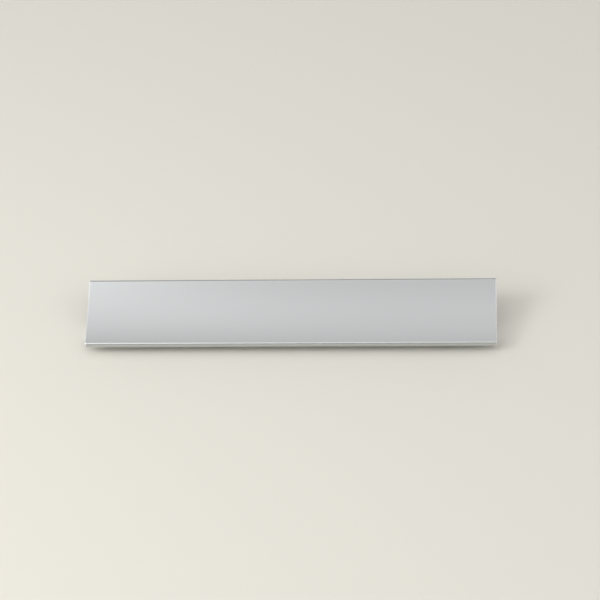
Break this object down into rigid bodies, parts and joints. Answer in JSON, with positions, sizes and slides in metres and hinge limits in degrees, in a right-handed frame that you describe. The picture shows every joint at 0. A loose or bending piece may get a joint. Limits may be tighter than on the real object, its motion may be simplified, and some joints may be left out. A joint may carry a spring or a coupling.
{
  "type": "cabinet handle",
  "caption": "Straight cabinet handle of extruded aluminium: a dished face that leans over a finger gap, on a rib with tapped holes for screws from behind the door.",
  "frame": {"origin": "middle of the foot of the mounting rib, halfway between the two tapped holes, on the plane of the door or drawer front", "axes": "+X along the extrusion, +Y towards the raised grip edge, +Z away from the door or drawer front"},
  "size_m": [0.2, 0.0334, 0.0203],
  "materials": {
    "satin_aluminium": "satin anodised, fine drawing lines along the length"
  },
  "bodies": {
    "root": {"handle_profile": "satin_aluminium"}
  },
  "joints": []
}
